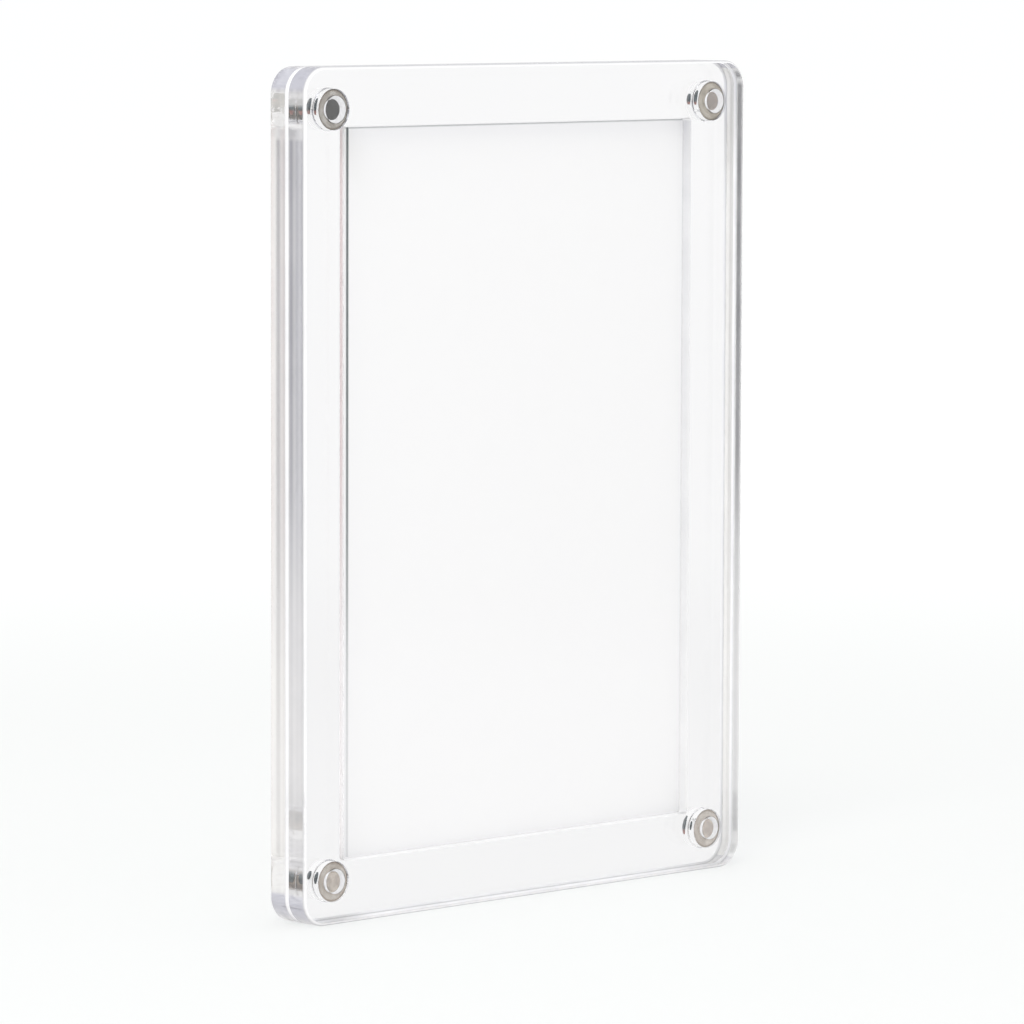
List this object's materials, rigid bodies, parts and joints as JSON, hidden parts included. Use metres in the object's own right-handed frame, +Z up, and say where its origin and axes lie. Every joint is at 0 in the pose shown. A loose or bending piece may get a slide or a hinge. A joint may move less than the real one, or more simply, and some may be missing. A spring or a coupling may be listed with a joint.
{
  "type": "magnetic photo frame",
  "caption": "Free-standing photo frame of two clear plates that corner magnets hold face to face, with a shallow pocket for a print in the rear plate.",
  "frame": {"origin": "on the standing edge, midway along it and midway between the two plates", "axes": "+Z up, -Y out of the front of the frame towards the viewer, +X to the viewer's right"},
  "size_m": [0.1298, 0.0108, 0.1777],
  "materials": {
    "clear_acrylic": "water-clear polished acrylic, flame-polished edges",
    "nickel_plate": "satin nickel plate",
    "clear_adhesive": "clear cured adhesive, slightly milky at its rim",
    "card": "smooth blank white card"
  },
  "bodies": {
    "rear": {"rear_panel": "clear_acrylic", "rear_magnet_top_left": "nickel_plate", "rear_magnet_top_right": "nickel_plate", "rear_magnet_bottom_left": "nickel_plate", "rear_magnet_bottom_right": "nickel_plate", "rear_adhesive_top_left": "clear_adhesive", "rear_adhesive_top_right": "clear_adhesive", "rear_adhesive_bottom_left": "clear_adhesive", "rear_adhesive_bottom_right": "clear_adhesive"},
    "front": {"front_panel": "clear_acrylic", "front_magnet_top_left": "nickel_plate", "front_magnet_top_right": "nickel_plate", "front_magnet_bottom_left": "nickel_plate", "front_magnet_bottom_right": "nickel_plate", "front_adhesive_top_left": "clear_adhesive", "front_adhesive_top_right": "clear_adhesive", "front_adhesive_bottom_left": "clear_adhesive", "front_adhesive_bottom_right": "clear_adhesive"},
    "print": {"photo_insert": "card"}
  },
  "joints": [
    {"name": "front_lift", "type": "slide", "parent": "rear", "child": "front", "axis": [0, -1, 0], "range_m": [0, 0.05]},
    {"name": "insert_lift", "type": "slide", "parent": "rear", "child": "print", "axis": [0, -1, 0], "range_m": [0, 0.025]}
  ],
  "couplings": [
    {"joint": "insert_lift", "follows": "front_lift", "ratio": 0.5}
  ]
}
